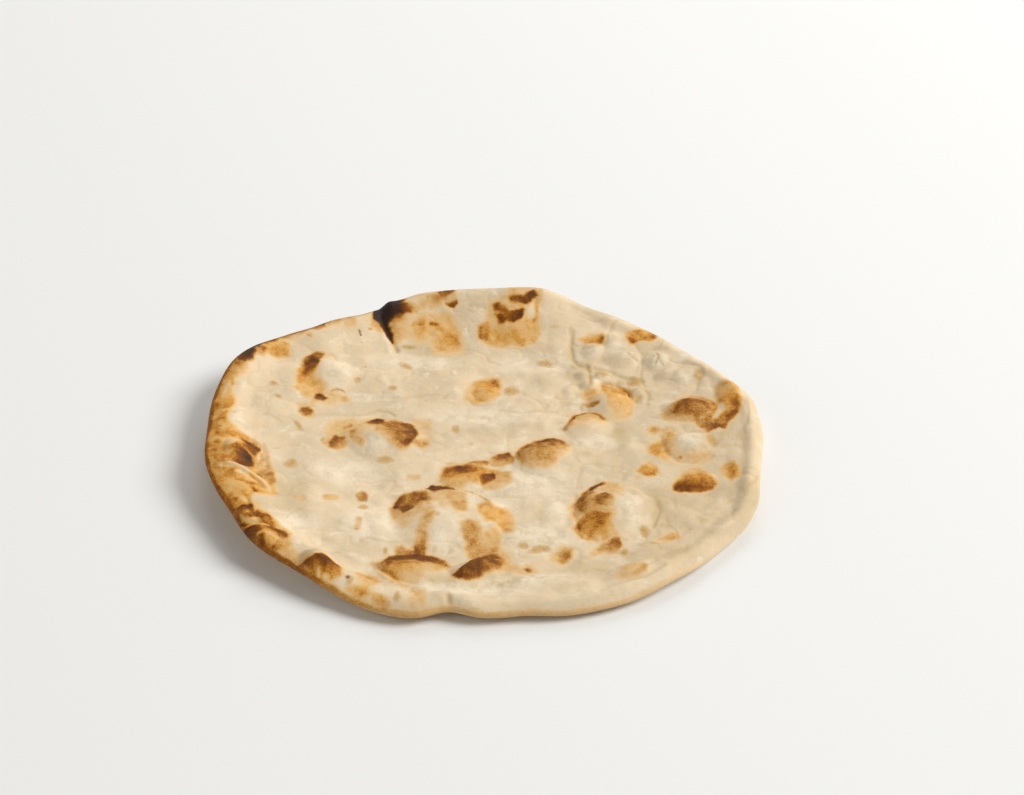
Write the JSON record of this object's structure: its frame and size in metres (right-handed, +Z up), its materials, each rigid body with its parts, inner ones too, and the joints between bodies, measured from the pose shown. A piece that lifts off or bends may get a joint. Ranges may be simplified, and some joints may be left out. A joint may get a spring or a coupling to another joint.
{
  "type": "tannour bread",
  "caption": "Round flatbread, thin and dished, with a lifted wavy rim, a bent-up back edge, a puffed left rim and a blistered upper face.",
  "frame": {"origin": "centre of the bread's box, at the level of the flat middle of its underside, which is what it rests on", "axes": "+Z up out of the blistered face, +Y towards the bent-up back edge, +X towards the bread's right"},
  "size_m": [0.2992, 0.266, 0.0284],
  "materials": {
    "baked_dough": "dry matte baked dough, pale cream with golden to dark brown scorched blisters and two charred spots"
  },
  "bodies": {
    "root": {"tannour_bread": "baked_dough"}
  },
  "joints": []
}
